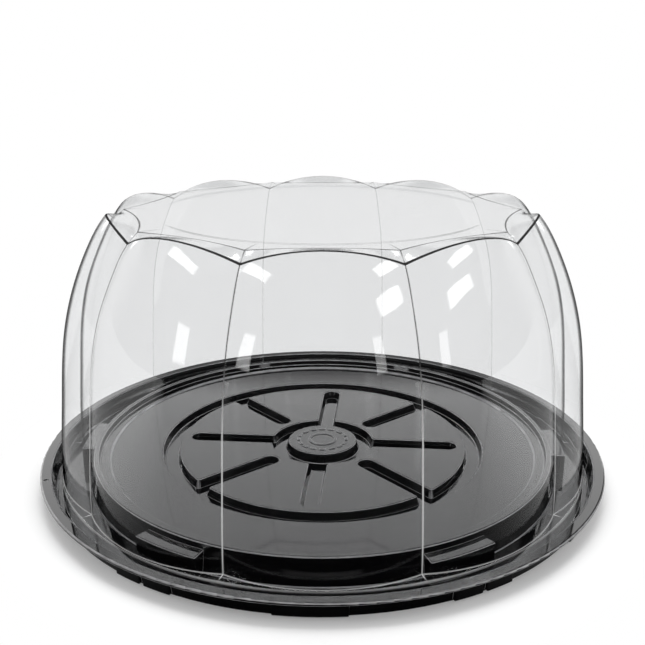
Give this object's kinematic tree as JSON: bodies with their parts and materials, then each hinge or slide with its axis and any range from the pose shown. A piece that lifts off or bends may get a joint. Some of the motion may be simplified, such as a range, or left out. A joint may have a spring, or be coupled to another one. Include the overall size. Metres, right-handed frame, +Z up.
{
  "type": "cake container",
  "caption": "Round two-piece cake container: a black dished base tray with a rim channel, and a clear scalloped dome lid that lifts straight off.",
  "frame": {"origin": "on the floor under the middle of the tray", "axes": "+Z up along the lid's lift, -Y to the front"},
  "size_m": [0.3192, 0.3192, 0.1511],
  "materials": {
    "black_tray": "glossy formed sheet",
    "clear_lid": "clear glossy formed sheet"
  },
  "bodies": {
    "base": {"base_tray": "black_tray"},
    "lid": {"dome_lid": "clear_lid"}
  },
  "joints": [
    {"name": "lid_lift", "type": "slide", "parent": "base", "child": "lid", "axis": [0, 0, 1], "range_m": [0, 0.18]}
  ]
}
